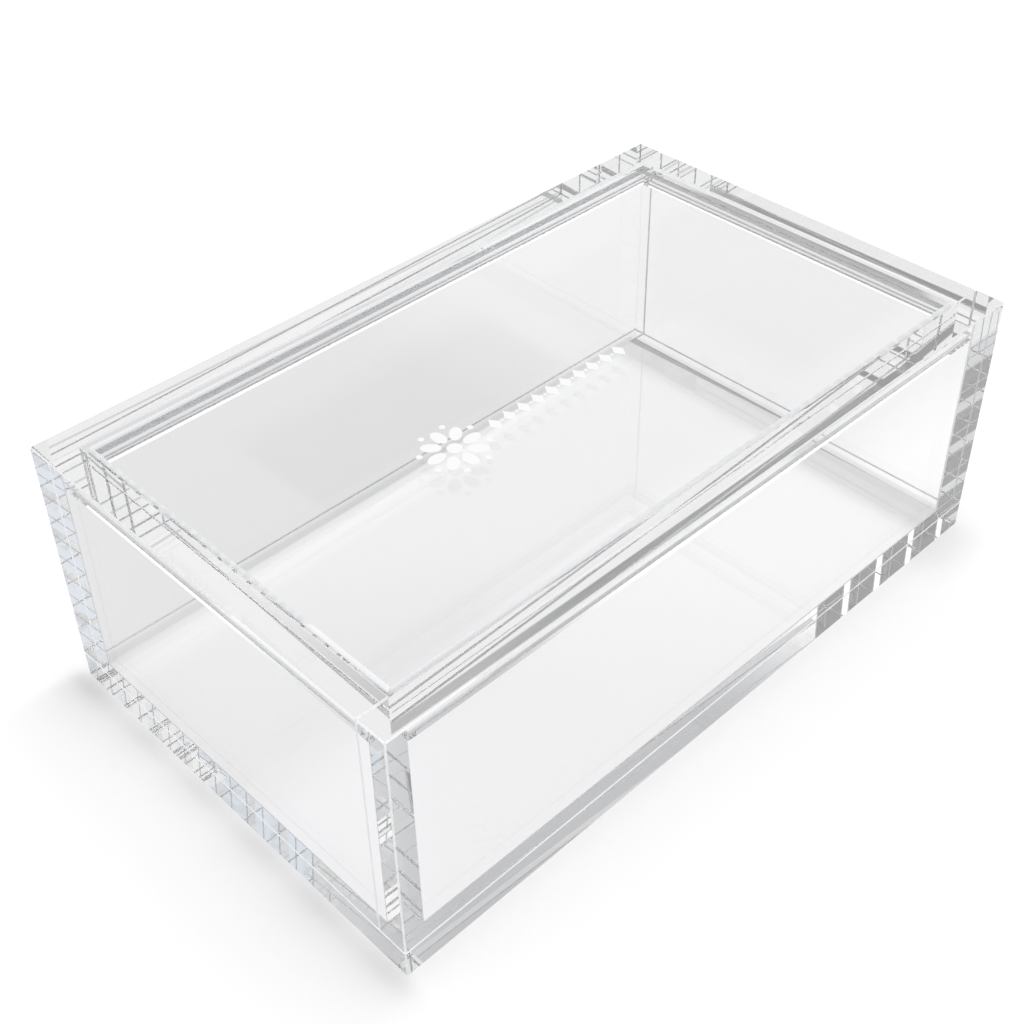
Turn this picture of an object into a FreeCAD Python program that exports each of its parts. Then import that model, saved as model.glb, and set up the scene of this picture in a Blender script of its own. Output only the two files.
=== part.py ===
import os

import FreeCAD
import Part
import Sketcher

# Clear acrylic tile storage box with a flush lift-out lid.
# Origin: centre of the underside. X runs along the long side, Y across, Z up.
# The front is the long side at -Y, the left end is the short side at -X.

doc = FreeCAD.newDocument("acrylic_tile_box")

# Driving dimensions in millimetres.
sheet = doc.addObject("Spreadsheet::Sheet", "Dimensions")

dimensions = [
    ("box_length", 250.0, "outside length"),
    ("box_width", 150.0, "outside width"),
    ("box_height", 90.0, "outside height, lid closed"),
    ("sheet_thickness", 10.0, "stock sheet of the base and walls"),
    ("lid_thickness", 8.0, "stock sheet of the lid"),
    ("edge_break", 0.4, "leg of the small chamfer on every plate edge"),
    ("lid_gap", 1.0, "air gap round the lid, each side"),
    ("lid_edge_break", 1.0, "leg of the chamfer on the lid edges"),
    ("ledge_width", 4.0, "how far a lid support strip stands off its wall"),
    ("ledge_height", 3.0, "height of a lid support strip"),
    ("ledge_edge_break", 0.4, "leg of the chamfer on the strip edges"),
    ("seat_gap", 0.1, "mean gap under the lid: cast sheet touches at high spots only"),
]

for row, (alias, value, note) in enumerate(dimensions, start=1):
    sheet.set("A%d" % row, alias)
    sheet.set("B%d" % row, str(value))
    sheet.setAlias("B%d" % row, alias)
    sheet.set("C%d" % row, note)

# Lengths that follow from the driving ones.
derived = [
    ("wall_height", "=box_height - sheet_thickness", "walls stand on the base"),
    ("inner_length", "=box_length - 2 * sheet_thickness", "clear length inside"),
    ("inner_width", "=box_width - 2 * sheet_thickness", "clear width inside"),
    ("lid_length", "=inner_length - 2 * lid_gap", "lid plate length"),
    ("lid_width", "=inner_width - 2 * lid_gap", "lid plate width"),
    ("lid_underside", "=box_height - lid_thickness", "height the lid rests at"),
    ("ledge_underside", "=lid_underside - seat_gap - ledge_height", "height of the strip bottoms"),
    ("end_ledge_length", "=inner_width - 2 * ledge_width", "end strip, between the long ones"),
]

for row, (alias, formula, note) in enumerate(derived, start=len(dimensions) + 1):
    sheet.set("A%d" % row, alias)
    sheet.set("B%d" % row, formula)
    sheet.setAlias("B%d" % row, alias)
    sheet.set("C%d" % row, note)

doc.recompute()


def origin_plane(body, role):
    # The body's own base plane of the given role.
    for feature in body.Origin.OriginFeatures:
        if feature.Role == role:
            return feature
    raise RuntimeError("no plane " + role)


def centred_rectangle(sketch, size_x, size_y):
    # Four lines round the sketch origin, sized by two named constraints.
    corner = [
        FreeCAD.Vector(-10, -5, 0),
        FreeCAD.Vector(10, -5, 0),
        FreeCAD.Vector(10, 5, 0),
        FreeCAD.Vector(-10, 5, 0),
    ]
    for side in range(4):
        line = Part.LineSegment(corner[side], corner[(side + 1) % 4])
        sketch.addGeometry(line, False)
    for side in range(4):
        sketch.addConstraint(Sketcher.Constraint("Coincident", side, 2, (side + 1) % 4, 1))
    sketch.addConstraint(Sketcher.Constraint("Horizontal", 0))
    sketch.addConstraint(Sketcher.Constraint("Vertical", 1))
    sketch.addConstraint(Sketcher.Constraint("Horizontal", 2))
    sketch.addConstraint(Sketcher.Constraint("Vertical", 3))
    sketch.addConstraint(Sketcher.Constraint("Symmetric", 0, 1, 1, 2, -1, 1))
    wide = sketch.addConstraint(Sketcher.Constraint("DistanceX", 0, 1, 0, 2, 20.0))
    sketch.renameConstraint(wide, "size_x")
    deep = sketch.addConstraint(Sketcher.Constraint("DistanceY", 1, 1, 1, 2, 10.0))
    sketch.renameConstraint(deep, "size_y")
    sketch.setExpression("Constraints.size_x", size_x)
    sketch.setExpression("Constraints.size_y", size_y)


def named(text):
    # Spell out the sheet in front of every alias used in an expression.
    words = text.replace("(", "( ").replace(")", " )").split()
    known = [entry[0] for entry in dimensions + derived]
    return " ".join("Dimensions." + word if word in known else word for word in words)


def plate(label, size_x, size_y, height, centre_x, centre_y, bottom, chamfer):
    # A sawn plate: rectangle on the body's XY plane, raised to its place, padded up,
    # and all twelve edges broken with a small chamfer.
    body = doc.addObject("PartDesign::Body", label)
    body.Label = label
    outline = body.newObject("Sketcher::SketchObject", label + "_outline")
    outline.AttachmentSupport = [(origin_plane(body, "XY_Plane"), "")]
    outline.MapMode = "FlatFace"
    centred_rectangle(outline, named(size_x), named(size_y))
    outline.setExpression("AttachmentOffset.Base.x", named(centre_x))
    outline.setExpression("AttachmentOffset.Base.y", named(centre_y))
    outline.setExpression("AttachmentOffset.Base.z", named(bottom))
    pad = body.newObject("PartDesign::Pad", label + "_pad")
    pad.Profile = outline
    pad.setExpression("Length", named(height))
    doc.recompute()
    bevel = body.newObject("PartDesign::Chamfer", label + "_edge_break")
    bevel.Base = (pad, ["Edge%d" % (n + 1) for n in range(len(pad.Shape.Edges))])
    bevel.setExpression("Size", named(chamfer))
    body.Tip = bevel
    doc.recompute()
    return body


bodies = []

# Base: full footprint, its edge shows all round the foot of the box.
bodies.append(plate(
    "base_plate",
    "box_length", "box_width", "sheet_thickness",
    "0 mm", "0 mm", "0 mm",
    "edge_break",
))

# Long walls: full length, standing on the base, their end grain shows at both ends.
for label, sign in (("front_wall", "-"), ("back_wall", "")):
    bodies.append(plate(
        label,
        "box_length", "sheet_thickness", "wall_height",
        "0 mm", sign + " ( box_width - sheet_thickness ) / 2", "sheet_thickness",
        "edge_break",
    ))

# End walls: butted between the long walls.
for label, sign in (("left_end_wall", "-"), ("right_end_wall", "")):
    bodies.append(plate(
        label,
        "sheet_thickness", "inner_width", "wall_height",
        sign + " ( box_length - sheet_thickness ) / 2", "0 mm", "sheet_thickness",
        "edge_break",
    ))

# Lid support strips, square section, cemented round the inside just under the lid.
for label, sign in (("front_ledge", "-"), ("back_ledge", "")):
    bodies.append(plate(
        label,
        "inner_length", "ledge_width", "ledge_height",
        "0 mm", sign + " ( inner_width - ledge_width ) / 2", "ledge_underside",
        "ledge_edge_break",
    ))

for label, sign in (("left_ledge", "-"), ("right_ledge", "")):
    bodies.append(plate(
        label,
        "ledge_width", "end_ledge_length", "ledge_height",
        sign + " ( inner_length - ledge_width ) / 2", "0 mm", "ledge_underside",
        "ledge_edge_break",
    ))

# Lid: drops in flush with the wall tops and lifts straight out.
bodies.append(plate(
    "lid",
    "lid_length", "lid_width", "lid_thickness",
    "0 mm", "0 mm", "lid_underside",
    "lid_edge_break",
))

doc.recompute()

for item in doc.Objects:
    if "Invalid" in item.State or "Error" in item.State:
        raise RuntimeError(item.Label + " did not build")

os.makedirs("parts", exist_ok=True)

for body in bodies:
    shape = body.Shape
    if not shape.isValid() or len(shape.Solids) != 1:
        raise RuntimeError(body.Label + " is not one sound solid")
    box = shape.BoundBox
    shape.exportStep("parts/" + body.Label + ".step")
    print(
        "%-16s x %7.1f %6.1f  y %6.1f %6.1f  z %5.1f %5.1f  %9.0f mm3"
        % (body.Label, box.XMin, box.XMax, box.YMin, box.YMax, box.ZMin, box.ZMax, shape.Volume)
    )
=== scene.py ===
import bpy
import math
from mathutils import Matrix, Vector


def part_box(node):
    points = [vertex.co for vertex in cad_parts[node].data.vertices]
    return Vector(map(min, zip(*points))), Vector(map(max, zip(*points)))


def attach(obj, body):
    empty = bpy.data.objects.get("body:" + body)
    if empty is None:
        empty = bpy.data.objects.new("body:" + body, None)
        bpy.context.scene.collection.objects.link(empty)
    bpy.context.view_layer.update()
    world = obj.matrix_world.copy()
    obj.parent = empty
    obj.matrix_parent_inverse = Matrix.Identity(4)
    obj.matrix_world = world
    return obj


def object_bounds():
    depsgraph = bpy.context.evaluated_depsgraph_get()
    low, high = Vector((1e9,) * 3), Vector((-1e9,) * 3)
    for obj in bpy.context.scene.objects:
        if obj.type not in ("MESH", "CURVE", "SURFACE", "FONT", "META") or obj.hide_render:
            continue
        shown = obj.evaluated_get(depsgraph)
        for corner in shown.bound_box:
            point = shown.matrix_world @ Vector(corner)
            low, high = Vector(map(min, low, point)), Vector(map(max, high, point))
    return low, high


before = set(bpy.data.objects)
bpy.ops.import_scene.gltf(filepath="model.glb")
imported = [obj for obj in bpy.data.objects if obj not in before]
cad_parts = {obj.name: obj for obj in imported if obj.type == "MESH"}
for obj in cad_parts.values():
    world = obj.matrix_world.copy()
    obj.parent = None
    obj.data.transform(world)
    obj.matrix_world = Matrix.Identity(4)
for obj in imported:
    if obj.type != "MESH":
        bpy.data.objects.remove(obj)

# %% [markdown]
# The object is a clear acrylic box for game or craft tiles: a base plate, two long
# walls that run its full length, two end walls butted between them, four thin ledges
# inside, and a thick lid that drops in flush with the wall tops. The CAD part gives
# every plate its exact place, so this script only adds what makes it look real.

scene = bpy.context.scene
low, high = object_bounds()
print("CAD box", [round(v, 4) for v in low], [round(v, 4) for v in high])

HALF_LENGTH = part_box("front_wall")[1][0]
HALF_WIDTH = high[1]
LID_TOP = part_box("lid")[1][2]
WHITE = (1.0, 1.0, 1.0, 1.0)
print("half length and width, mm", round(HALF_LENGTH * 1000, 2), round(HALF_WIDTH * 1000, 2))

# %% [markdown]
# A material is a small network of nodes. Writing the sums of such a network as
# plain expressions keeps them readable, so a class wraps one socket and turns
# +, -, * and / into Math nodes. Every other node comes from a single method.

# %% A socket that can be calculated with
class Wire:
    """One output socket of a node tree, usable in ordinary arithmetic."""

    def __init__(self, tree, socket):
        self.tree = tree
        self.socket = socket

    def sum_node(self, operation, *others, turned=False):
        node = self.tree.nodes.new("ShaderNodeMath")
        node.operation = operation
        terms = others + (self,) if turned else (self,) + others
        for slot_number, term in enumerate(terms):
            if isinstance(term, Wire):
                self.tree.links.new(term.socket, node.inputs[slot_number])
            else:
                node.inputs[slot_number].default_value = term
        return Wire(self.tree, node.outputs[0])

    def __add__(self, other):
        return self.sum_node("ADD", other)

    def __sub__(self, other):
        return self.sum_node("SUBTRACT", other)

    def __mul__(self, other):
        return self.sum_node("MULTIPLY", other)

    def __truediv__(self, other):
        return self.sum_node("DIVIDE", other)

    __radd__ = __add__
    __rmul__ = __mul__

    def __rsub__(self, other):
        return self.sum_node("SUBTRACT", other, turned=True)

    def __rtruediv__(self, other):
        return self.sum_node("DIVIDE", other, turned=True)

    def size(self):
        return self.sum_node("ABSOLUTE")

    def near(self, middle, reach):
        return self.sum_node("COMPARE", middle, reach)

    def wave(self):
        return self.sum_node("SINE")

    def fading(self, length):
        """1 at zero, falling off as e to the minus distance over length."""
        return (self * (-1.0 / length)).sum_node("EXPONENT")

    def smaller(self, other):
        return self.sum_node("MINIMUM", other)

    def larger(self, other):
        return self.sum_node("MAXIMUM", other)

    def ramp(self, start, end):
        """0 below start, 1 above end, smooth between."""
        node = self.tree.nodes.new("ShaderNodeMapRange")
        node.interpolation_type = "SMOOTHSTEP"
        node.inputs["From Min"].default_value = start
        node.inputs["From Max"].default_value = end
        self.tree.links.new(self.socket, node.inputs["Value"])
        return Wire(self.tree, node.outputs[0])


class Network:
    """A node tree, with one method for any node in it."""

    def __init__(self, tree):
        self.tree = tree
        tree.nodes.clear()

    @classmethod
    def of_shader(cls, owner):
        """The node tree of a material or a world, emptied."""
        owner.use_nodes = True
        return cls(owner.node_tree)

    def add(self, kind, settings=None, **values):
        node = self.tree.nodes.new(kind)
        for name, value in (settings or {}).items():
            setattr(node, name, value)
        for name, value in values.items():
            socket = node.inputs[name.replace("_", " ")]
            if isinstance(value, Wire):
                self.tree.links.new(value.socket, socket)
            elif hasattr(value, "is_output"):
                self.tree.links.new(value, socket)
            else:
                socket.default_value = value
        return node

    def wire(self, node, output=0):
        return Wire(self.tree, node.outputs[output])

    def mix_colour(self, factor, first, second):
        node = self.tree.nodes.new("ShaderNodeMix")
        node.data_type = "RGBA"
        for socket, value in zip((node.inputs[0], node.inputs[6], node.inputs[7]),
                                 (factor, first, second)):
            if isinstance(value, Wire):
                self.tree.links.new(value.socket, socket)
            else:
                socket.default_value = value
        return Wire(self.tree, node.outputs[2])

    def mix_shader(self, factor, first, second):
        node = self.add("ShaderNodeMixShader", Fac=factor)
        self.tree.links.new(first.outputs[0], node.inputs[1])
        self.tree.links.new(second.outputs[0], node.inputs[2])
        return node

    def place(self):
        """Object coordinates as three wires: along, across and up, in metres."""
        where = self.add("ShaderNodeTexCoord")
        parts = self.add("ShaderNodeSeparateXYZ", Vector=where.outputs["Object"])
        return [self.wire(parts, axis) for axis in range(3)]


# %% [markdown]
# The plates are joined with solvent, which melts both faces together. Light then
# passes from one plate into the next as if there were no joint at all, and this is
# what fills the edges of such a box with long mirrored pictures. In the model each
# plate is a closed solid of its own, so wherever two of them are cemented the two
# touching faces have to vanish. A list of those contact patches is read off the CAD
# boxes, and the material makes its surface fully clear inside each patch. The
# alternative, welding the plates into one mesh, would lose the separate pieces.

# %% Where the plates are cemented together
CEMENTED = [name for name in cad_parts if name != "lid"]
TOUCHING = 2e-5


def edge_break_of(name):
    """The width of the small chamfer round a plate, read off its own corners."""
    heights = sorted({round(v.co.z, 5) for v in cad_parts[name].data.vertices})
    return heights[1] - heights[0]


def contact(first, second):
    """The cemented rectangle between two plates as three (start, end) spans."""
    spans, plane = [], None
    (lo_a, hi_a), (lo_b, hi_b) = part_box(first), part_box(second)
    break_a, break_b = edge_break_of(first), edge_break_of(second)
    for axis in range(3):
        for face in (lo_a[axis], hi_a[axis]):
            if min(abs(face - lo_b[axis]), abs(face - hi_b[axis])) < TOUCHING:
                start, end = max(lo_a[axis], lo_b[axis]), min(hi_a[axis], hi_b[axis])
                if abs(end - start) < 2 * TOUCHING:
                    plane = axis
        start = max(lo_a[axis] + break_a, lo_b[axis] + break_b)
        end = min(hi_a[axis] - break_a, hi_b[axis] - break_b)
        if plane == axis:
            level = (max(lo_a[axis], lo_b[axis]) + min(hi_a[axis], hi_b[axis])) / 2
            start, end = level - TOUCHING, level + TOUCHING
        if end <= start:
            return None
        spans.append((start, end))
    return spans if plane is not None else None


def folded(spans):
    """The same patch seen in the positive quarter, as the box is symmetric."""
    turned = []
    for axis, (start, end) in enumerate(spans):
        if axis < 2:
            start, end = (0.0, end) if start * end < 0 else sorted((abs(start), abs(end)))
        turned.append((round(start, 5), round(end, 5)))
    return tuple(turned)


patches = set()
for number, first in enumerate(CEMENTED):
    for second in CEMENTED[number + 1:]:
        found = contact(first, second)
        if found:
            patches.add(folded(found))
patches = sorted(patches)
for patch in patches:
    print("cemented patch, mm", [(round(a * 1000, 2), round(b * 1000, 2)) for a, b in patch])

# %% [markdown]
# Cast acrylic is the clearest of the common plastics, with an index of refraction
# of 1.49. Its sawn edges are polished, then the sharp corners are scraped to a
# narrow chamfer that is left a little matt and shows as a white line. A chamfer could
# be found by its place near two faces of a plate. The slope of the face says it more
# simply: only a chamfer looks along none of the three axes.

# %% Clear cast acrylic
ACRYLIC_IOR = 1.49
SCRAPED_SHARE = 0.85
STRAIGHT_FACE = (0.90, 0.95)


def clear_acrylic(name):
    material = bpy.data.materials.new(name)
    net = Network.of_shader(material)
    along, across, up = net.place()
    along, across = along.size(), across.size()

    cement = None
    for patch in patches:
        inside = None
        for wire, (start, end) in zip((along, across, up), patch):
            near = wire.near((start + end) / 2, (end - start) / 2)
            inside = near if inside is None else inside * near
        cement = inside if cement is None else cement.larger(inside)

    facing = net.add("ShaderNodeNewGeometry")
    slope = net.add("ShaderNodeSeparateXYZ", Vector=facing.outputs["True Normal"])
    steepest = net.wire(slope, 0).size().larger(net.wire(slope, 1).size())
    steepest = steepest.larger(net.wire(slope, 2).size())
    chamfer = 1 - steepest.ramp(*STRAIGHT_FACE)

    clear = net.add(
        "ShaderNodeBsdfPrincipled",
        Base_Color=WHITE,
        Roughness=0.0,
        IOR=ACRYLIC_IOR,
        Transmission_Weight=1.0,
        Alpha=1 - cement,
    )
    scraped = net.add(
        "ShaderNodeBsdfPrincipled",
        Base_Color=(0.98, 0.99, 1.0, 1.0),
        Roughness=0.4,
        IOR=ACRYLIC_IOR,
    )
    surface = net.mix_shader(chamfer * SCRAPED_SHARE, clear, scraped)
    net.add("ShaderNodeOutputMaterial", Surface=surface.outputs[0])
    return material


acrylic = clear_acrylic("clear_acrylic")
for name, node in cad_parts.items():
    node.data.materials.clear()
    node.data.materials.append(acrylic)
print("acrylic on", len(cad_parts), "plates")

# %% [markdown]
# A small ornament is printed in opaque white on top of the lid: a rosette and a band
# of lozenges, the kind of stock border a workshop screens on such a box. Petals,
# dots and lozenges all repeat, so one Geometry Nodes tree lays them out from a few
# named sizes. Text or a traced outline would need a drawing of its own, and this
# way the ornament can be made larger, longer or denser by changing a number.

# %% The printed ornament
INK_THICKNESS = 0.00003
# Sizes of the rosette as shares of its radius.
PETAL_HALF_LENGTH, PETAL_HALF_WIDTH, PETAL_PLACE = 0.27, 0.165, 0.58
DOT_SIZE, DOT_PLACE, HEART_SIZE = 0.085, 0.91, 0.20
# The band begins just outside the rosette. A lozenge is given as shares of the pitch
# and of the height of the band, the dot between two of them as a share of the height.
BAND_START, LOZENGE_HALF_LENGTH, LOZENGE_HALF_HEIGHT, BEAD_SIZE = 1.12, 0.34, 0.5, 0.09


def printed_ornament(name, sizes, material):
    tree = bpy.data.node_groups.new(name, "GeometryNodeTree")
    net = Network(tree)
    for title in sizes:
        whole = isinstance(sizes[title], int)
        kind = "NodeSocketInt" if whole else "NodeSocketFloat"
        tree.interface.new_socket(name=title, in_out="INPUT", socket_type=kind)
    tree.interface.new_socket(name="Geometry", in_out="OUTPUT",
                              socket_type="NodeSocketGeometry")
    given = net.add("NodeGroupInput")
    size = {title: Wire(tree, given.outputs[title]) for title in sizes}

    def disc(corners, wide, high, shift=0.0):
        round_one = net.add("GeometryNodeMeshCircle", {"fill_type": "NGON"},
                            Vertices=corners, Radius=1.0)
        shape = net.add("ShaderNodeCombineXYZ", X=wide, Y=high, Z=1.0)
        where = net.add("ShaderNodeCombineXYZ", X=shift)
        return net.add("GeometryNodeTransform", Geometry=round_one.outputs["Mesh"],
                       Scale=shape.outputs[0], Translation=where.outputs[0])

    def spread(piece, points, turn=None):
        rotation = {}
        if turn is not None:
            angle = net.add("ShaderNodeCombineXYZ", Z=turn)
            rotation = {"Rotation": angle.outputs[0]}
        return net.add("GeometryNodeInstanceOnPoints", Points=points.outputs[0],
                       Instance=piece.outputs[0], **rotation)

    def row(count, start, step):
        begin = net.add("ShaderNodeCombineXYZ", X=start)
        stride = net.add("ShaderNodeCombineXYZ", X=step)
        return net.add("GeometryNodeMeshLine", Count=count,
                       Start_Location=begin.outputs[0], Offset=stride.outputs[0])

    number = net.wire(net.add("GeometryNodeInputIndex"))
    petals, radius = size["Petals"], size["Rosette Radius"]
    step = math.tau / petals
    centre = row(petals, 0.0, 0.0)
    petal = disc(24, radius * PETAL_HALF_LENGTH, radius * PETAL_HALF_WIDTH,
                 radius * PETAL_PLACE)
    dot = disc(12, radius * DOT_SIZE, radius * DOT_SIZE, radius * DOT_PLACE)
    heart = disc(24, radius * HEART_SIZE, radius * HEART_SIZE)
    parts = [spread(petal, centre, number * step),
             spread(dot, centre, (number + 0.5) * step), heart]

    pitch, tall = size["Pitch"], size["Band Height"]
    first = radius * BAND_START + pitch * 0.5
    lozenge = disc(4, pitch * LOZENGE_HALF_LENGTH, tall * LOZENGE_HALF_HEIGHT)
    parts.append(spread(lozenge, row(size["Lozenges"], first, pitch)))
    bead = disc(12, tall * BEAD_SIZE, tall * BEAD_SIZE)
    parts.append(spread(bead, row(size["Lozenges"] - 1, first + pitch * 0.5, pitch)))

    joined = net.add("GeometryNodeJoinGeometry")
    for part in parts:
        tree.links.new(part.outputs[0], joined.inputs[0])
    placed = net.add("ShaderNodeCombineXYZ", X=size["Place X"], Y=size["Place Y"],
                     Z=size["Place Z"])
    moved = net.add("GeometryNodeTransform", Geometry=joined.outputs[0],
                    Translation=placed.outputs[0])
    real = net.add("GeometryNodeRealizeInstances", Geometry=moved.outputs[0])
    inked = net.add("GeometryNodeSetMaterial", Geometry=real.outputs[0], Material=material)
    net.add("NodeGroupOutput", Geometry=inked.outputs[0])

    carrier = bpy.data.objects.new(name, bpy.data.meshes.new(name + "_carrier"))
    scene.collection.objects.link(carrier)
    layout = carrier.modifiers.new("layout", "NODES")
    layout.node_group = tree
    for item in tree.interface.items_tree:
        if item.in_out == "INPUT":
            layout[item.identifier] = sizes[item.name]
    bpy.context.view_layer.update()
    ready = carrier.evaluated_get(bpy.context.evaluated_depsgraph_get())
    carrier.data = bpy.data.meshes.new_from_object(ready)
    carrier.modifiers.clear()
    return carrier


ink = bpy.data.materials.new("white_print")
net = Network.of_shader(ink)
film = net.add("ShaderNodeBsdfPrincipled", Base_Color=(0.97, 0.97, 0.97, 1.0), Roughness=0.45)
net.add("ShaderNodeOutputMaterial", Surface=film.outputs[0])

ornament = printed_ornament("lid_ornament", {
    "Petals": 8,
    "Rosette Radius": 0.0112,
    "Lozenges": 10,
    "Pitch": 0.0056,
    "Band Height": 0.0058,
    "Place X": -0.0430,
    "Place Y": -0.0085,
    "Place Z": LID_TOP + INK_THICKNESS,
}, ink)
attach(ornament, "lid")
print("ornament faces", len(ornament.data.polygons), "size mm",
      [round(v * 1000, 2) for v in ornament.dimensions])

# %% [markdown]
# The stage is a wide white floor under an even sky. The floor is a plain matt surface,
# so it keeps the faint shadow that the box throws, and a painted contact shadow with
# painted bright streaks is laid over it further down. To the camera and through the
# acrylic it gets a little light of its own, which lifts it to the white of a studio sweep
# without any more light on the box. It lies a hair below the base, as two faces at one
# level would flicker.

# %% The floor
FLOOR_LEVEL = -0.0002
FAR = 4.0


def quad(name, corners):
    mesh = bpy.data.meshes.new(name)
    mesh.from_pydata(corners, [], [(0, 1, 2, 3)])
    mesh.update()
    made = bpy.data.objects.new(name, mesh)
    scene.collection.objects.link(made)
    return made


ground = quad("studio_floor", [(-FAR, -FAR, FLOOR_LEVEL), (FAR, -FAR, FLOOR_LEVEL),
                               (FAR, FAR, FLOOR_LEVEL), (-FAR, FAR, FLOOR_LEVEL)])
print("floor", [round(v, 1) for v in ground.dimensions])

# %% [markdown]
# A clear box shows little of itself. Its panels and rims show the floor, each part of
# them another place on it, and the rims show it after several mirrorings between the
# faces of a wall. So the greys of the box are painted on the floor by position, as painted
# shade. Light that has crossed few faces comes from a rim or from the foot, and light that
# has crossed four or more comes from a panel, so a tone can be kept to either one. Tinting
# the plates themselves would be simpler, but it would grey every view of them alike.

# %% Tools for painting by position
sweep = bpy.data.materials.new("white_sweep")
net = Network.of_shader(sweep)
along, across, up = net.place()
ray = net.add("ShaderNodeLightPath")
straight = Wire(net.tree, ray.outputs["Is Camera Ray"])
reflected = Wire(net.tree, ray.outputs["Is Glossy Ray"])
through = Wire(net.tree, ray.outputs["Is Transmission Ray"])
crossed = Wire(net.tree, ray.outputs["Transmission Depth"])
mirrored = Wire(net.tree, ray.outputs["Glossy Depth"])


def at_least(count, number):
    """1 once a whole count has reached the number, else 0."""
    return count.ramp(number - 0.6, number - 0.4)


def grey(level, blue=0.0):
    return (level, level, level + blue, 1.0)


def between(value, lower, upper, soft=0.0003):
    """1 from lower to upper, fading over soft at both ends."""
    return (value - lower).ramp(-soft, soft) * (upper - value).ramp(-soft, soft)


def stripe(distance, middle, half, soft=0.0003):
    """1 inside a strip of that half width, fading over soft at both sides."""
    return 1 - (distance - middle).size().ramp(half - soft, half + soft)


def within(distance, full, none):
    """1 up to the first distance, 0 beyond the second."""
    return 1 - distance.ramp(full, none)


def layered(tone, layers):
    """A tone with others laid over it in turn, each with its own mask."""
    for mask, over in layers:
        tone = net.mix_colour(mask, tone, over)
    return tone


# Distances run inwards from the outer face of each wall, in metres.
in_front, in_back = across + HALF_WIDTH, HALF_WIDTH - across
in_left, in_right = along + HALF_LENGTH, HALF_LENGTH - along
# A rim is left after two faces and a panel after four, so three parts the two.
PANEL_FACES, FAR_PANEL_FACES = 3, 5
deep, deepest = at_least(crossed, PANEL_FACES), at_least(crossed, FAR_PANEL_FACES)
print("tones for the panels alone begin at", PANEL_FACES, "faces crossed")

# %% [markdown]
# The panels come first. Painted shade leaves the floor pale in front and on the right
# and greyer inside and behind, darkens it towards the foot of the back and the right wall
# with a lighter painted strip just before the back wall, and it is plain white again far
# away, so that the box doesn't carry a grey field with it.

# %% The painted shade that the panels show
# Painted shade beyond the back wall: greyer to the left, and a darker painted contact band just
# behind the wall.
behind = layered(grey(0.680, 0.005), [
    (along.ramp(0.040, 0.120), grey(0.800, 0.010)),
    (0.8 * in_back.ramp(-0.0095, -0.0070) * within(along.size(), 0.128, 0.140), grey(0.510)),
])
# Painted shade beyond the right wall: pale in front, greyer to the back, and a darker painted
# contact band just beside the wall.
beside = layered(grey(0.990), [
    (across.ramp(-0.040, 0.000), grey(0.820, 0.010)),
    (0.7 * in_right.ramp(-0.0095, -0.0075) * within(across.size(), 0.078, 0.090), grey(0.620)),
])
# Painted shade inside: greyer in the back half, a lighter painted strip before the back wall, darker
# towards the foot of the back and right walls, then the shade behind and beside, and white far away.
shade = layered(grey(0.915, 0.015), [
    (across.ramp(-0.020, 0.010), grey(0.810, 0.010)),
    (within(in_back, 0.0130, 0.0200), grey(0.880, 0.005)),
    (within(in_back, 0.0060, 0.0095), grey(0.730, 0.005)),
    (within(in_right, 0.0125, 0.0220), grey(0.610, 0.005)),
    (within(in_back, 0.0, 0.003), behind),
    (within(in_right, -0.002, 0.0), beside),
    (along.size().larger(across.size()).ramp(0.25, 0.60), WHITE),
])
print("floor nodes with the panels' tones", len(net.tree.nodes))

# %% [markdown]
# The rims show narrow dark lines that run along the wall tops. Each is a line of painted
# shade on the floor under its wall, which drifts from one side of the wall to the other
# along its length, as the view of it turns. A rim shows a place that lies further back and
# to the right than itself, and that shift is taken off first.

# %% Painted shade lines under the walls
RIM_SHIFT_ALONG, RIM_SHIFT_ACROSS = 0.044, 0.037
footprint = in_front.smaller(in_back).smaller(in_left.smaller(in_right)).ramp(0.0, 0.0005)
rim_view = footprint * (1 - deep) * at_least(mirrored, 2)
rim_along, rim_across = along - RIM_SHIFT_ALONG, across - RIM_SHIFT_ACROSS

outer_start, outer_end = 0.0049 + 0.0345 * rim_along, 0.0079 + 0.0345 * rim_along
inner_start, inner_end = 0.0121 - 0.0358 * rim_along, 0.0151 - 0.0358 * rim_along
front_line = between(in_front, outer_start, outer_end.smaller(0.0064 + 0.003 * rim_along))
front_line = front_line.larger(
    between(in_front, inner_start, inner_end.smaller(0.0136 - 0.004 * rim_along)))
front_line = front_line * (1 - at_least(mirrored, 4))
back_line = stripe(in_back, 0.0045 - 0.0355 * rim_along, 0.0005)
left_line = at_least(mirrored, 3) * stripe(in_left, 0.007, 0.006) * in_front.ramp(0.010, 0.012)
right_line = stripe(in_right, 0.0053 - 0.040 * rim_across, 0.0015)

# Tones of the painted shade lines under the walls.
front_tone = net.mix_colour(along.ramp(-0.08, 0.00), grey(0.420), grey(0.230))
left_tone = net.mix_colour(across.ramp(-0.035, 0.035), grey(0.520), grey(0.840))
right_tone = net.mix_colour(across.ramp(0.05, 0.10), grey(0.210), grey(0.600))
# Seen through the rims alone, the floor is painted a pale grey, with the dark lines of painted shade
# over it.
shade = layered(shade, [
    (rim_view, grey(0.870)),
    (left_line * rim_view, left_tone),
    (back_line * rim_view, grey(0.580)),
    (right_line * rim_view, right_tone),
    (front_line * rim_view, front_tone),
])
print("floor nodes with the lines under the walls", len(net.tree.nodes))

# %% [markdown]
# Two more belong to the right end. The lid and the ledge under it show a dark line at
# the foot of the right wall, painted shade on the floor. The right edge of the lid is a
# mirror that shows a piece of the floor far to the left of it, and beyond the box where a
# second mirroring follows; that piece is painted dark for mirrored light only, a painted
# reflection.

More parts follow.
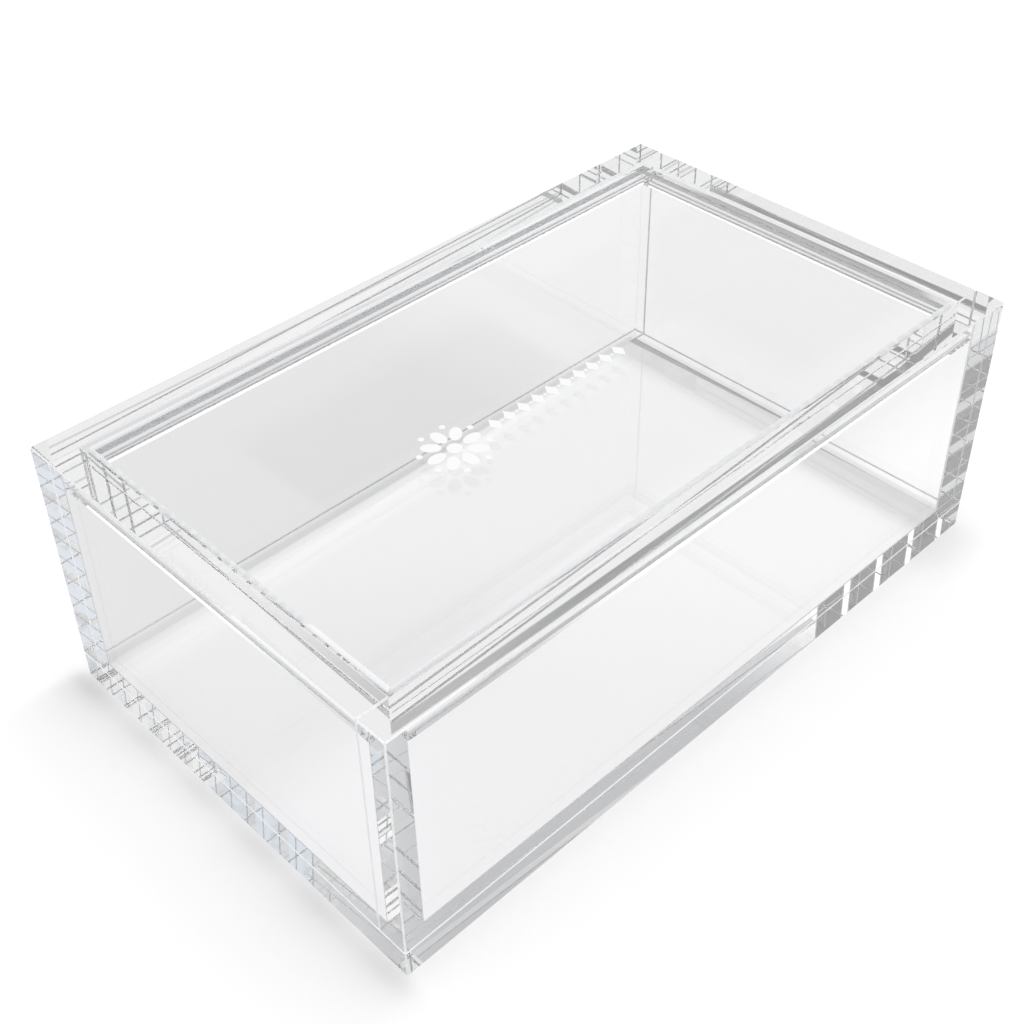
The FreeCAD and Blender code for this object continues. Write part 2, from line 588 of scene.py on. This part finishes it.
# %% Painted shade at the foot of the right wall and a painted reflection in the lid's edge
# A dark line of painted shade at the foot of the right wall, seen through the lid and the ledge.
painted_foot_shade = stripe(in_right, 0.0032 + 0.032 * across, 0.0020) * footprint * deep
# Where the lid's right edge mirrors the floor, a dark patch is painted for mirrored light only: a
# painted reflection.
under_lid = between(along, -0.030, 0.090, 0.004) * deep
beyond_box = between(along, 0.120, 0.260, 0.010) * deepest
painted_reflection_patch = under_lid.larger(beyond_box) * between(across, 0.008, 0.135, 0.006)
shade = layered(shade, [
    (painted_foot_shade, grey(0.220)),
    (painted_reflection_patch * at_least(mirrored, 1), grey(0.340)),
])
print("floor nodes with the right end", len(net.tree.nodes))

# %% [markdown]
# The sky is even, so the floor's own shadow is faint. A contact shadow is laid over it,
# painted with the distance from the foot of the box: tight all round, deeper and broken
# by bright streaks at the left end, and deepest at the far left corner. A lamp on the
# left would throw it too, but would light the box and its panels as well.

# %% The painted contact shadow
out_along = (along.size() - HALF_LENGTH).larger(0.0)
out_across = (across.size() - HALF_WIDTH).larger(0.0)
gap = (out_along * out_along + out_across * out_across).sum_node("SQRT")
past_far_edge = across - 0.072
from_corner = (out_along * out_along + past_far_edge * past_far_edge).sum_node("SQRT")

at_left = (-1 * along).ramp(0.122, 0.130)
before_corner = 1 - 0.85 * across.ramp(0.0755, 0.0825)
near_end = (across + 0.090).ramp(0.0, 0.02) * (1 - across.ramp(-0.05, 0.02))
# Painted bright streaks that break the painted shadow at the left end.
streaks = 0.80 + 0.20 * (230.0 * across + 60.0 * along).wave()
# The painted shadow at the left end: tight at the foot, with a tail from the far left corner and the
# near end.
painted_shadow_left = 0.45 * gap.fading(0.0042) * streaks + 0.05 * within(gap, 0.01, 0.06)
painted_shadow_left = painted_shadow_left + 0.30 * from_corner.fading(0.014) + 0.10 * near_end * gap.fading(0.018)
painted_shadow_left = painted_shadow_left * (across + 0.092).ramp(0.0, 0.017)

# A faint painted shadow off the right end.
painted_shadow_right = stripe(along, 0.112, 0.014, 0.010) * within(gap, 0.004, 0.018)
# The depth of the painted contact shadow, all round, at the right end and at the left end.
soft = 0.12 * gap.fading(0.007) + 0.13 * painted_shadow_right + at_left * before_corner * painted_shadow_left
# The painted contact shadow darkens the glow's white and the matt paint's grey.
shadowed = net.mix_colour(soft, WHITE, grey(0.35, 0.01))
painted = net.mix_colour(soft, grey(0.9), grey(0.32, 0.01))
print("floor nodes with the contact shadow", len(net.tree.nodes))

# %% [markdown]
# The layers meet in one material. The camera and mirrored rays see the matt paint and a
# white glow, both darkened by the painted contact shadow, and rays that come through the
# acrylic see the painted greys of shade.

# %% The floor material
GLOW_SHARE, SEEN_THROUGH_SHARE = 0.6, 0.85
paint = net.add("ShaderNodeBsdfDiffuse", Color=painted)
white = net.add("ShaderNodeEmission", Color=shadowed, Strength=1.2)
seen_through = net.add("ShaderNodeEmission", Color=shade, Strength=1.0)
direct = net.mix_shader(GLOW_SHARE * straight.larger(reflected), paint, white)
both = net.mix_shader(SEEN_THROUGH_SHARE * through, direct, seen_through)
net.add("ShaderNodeOutputMaterial", Surface=both.outputs[0])
ground.data.materials.append(sweep)
print("floor material nodes", len(net.tree.nodes))

# %% [markdown]
# The sky lights the box evenly in white. Through the acrylic it is a studio with cloths:
# white low down, dark to the back, pale blue to the front and a bright card overhead.
# The corners and edges of the box pick these up by direction. Real cards and cloths
# round the box would do the same, but would have to be modelled and kept out of view.

# %% The sky
OVERHEAD = (0.90, 0.94)
world = bpy.data.worlds.new("studio")
scene.world = world
net = Network.of_shader(world)
direction = net.add("ShaderNodeTexCoord")
parts = net.add("ShaderNodeSeparateXYZ", Vector=direction.outputs["Generated"])
east, north, height = [net.wire(parts, axis) for axis in range(3)]
ray = net.add("ShaderNodeLightPath")
scattered = Wire(net.tree, ray.outputs["Diffuse Depth"]).smaller(1.0)
through = Wire(net.tree, ray.outputs["Is Transmission Ray"]) * (1 - scattered)

right, back = east.ramp(-0.15, 0.15), north.ramp(-0.15, 0.15)
far_corner = right * back
low_edge = 0.22 + 0.48 * far_corner
dark = (height - low_edge).ramp(-0.04, 0.04) * (1 - height.ramp(*OVERHEAD))
turn = north - 0.85 * east
far_cloth = layered((0.26, 0.26, 0.26, 1.0), [
    (turn.ramp(-0.36, -0.30), (0.66, 0.65, 0.64, 1.0)),
    (turn.ramp(-0.23, -0.17), (0.47, 0.47, 0.475, 1.0)),
    (turn.ramp(0.12, 0.24), (0.68, 0.69, 0.71, 1.0)),
])
back_cloth = net.mix_colour(right, (0.22, 0.215, 0.21, 1.0), far_cloth)
cloth = net.mix_colour(back, (0.68, 0.73, 0.80, 1.0), back_cloth)
low_light = net.mix_colour(far_corner, WHITE, grey(1.3))
cards = layered(low_light, [(dark, cloth), (height.ramp(*OVERHEAD), grey(3.0))])
colour = net.mix_colour(through, WHITE, cards)
sky = net.add("ShaderNodeBackground", Color=colour, Strength=1.0)
net.add("ShaderNodeOutputWorld", Surface=sky.outputs[0])
print("sky nodes", len(net.tree.nodes))

# %% [markdown]
# The camera stands to the front left and looks down at about forty degrees, which is
# the photograph's angle. Thick acrylic needs many bounces, because a ray may cross
# a plate twenty times before it leaves.

# %% The camera
lens = bpy.data.cameras.new("camera")
camera = bpy.data.objects.new("camera", lens)
scene.collection.objects.link(camera)
scene.camera = camera
lens.lens = 54.2
lens.sensor_width = 36.0
lens.shift_y = -0.04
camera.location = (-0.2594, -0.2585, 0.3501)
camera.rotation_mode = "QUATERNION"
camera.rotation_quaternion = (0.83547, 0.40041, -0.15594, -0.34256)
tilt = math.degrees(math.asin(camera.rotation_quaternion.to_matrix().col[2].z))
print("camera", round(camera.location.length, 3), "m away, looks down by", round(tilt, 1), "degrees")

scene.view_settings.view_transform = "Standard"
BOUNCES = 32
scene.cycles.max_bounces = BOUNCES
scene.cycles.glossy_bounces = BOUNCES
scene.cycles.transmission_bounces = BOUNCES
scene.cycles.transparent_max_bounces = BOUNCES
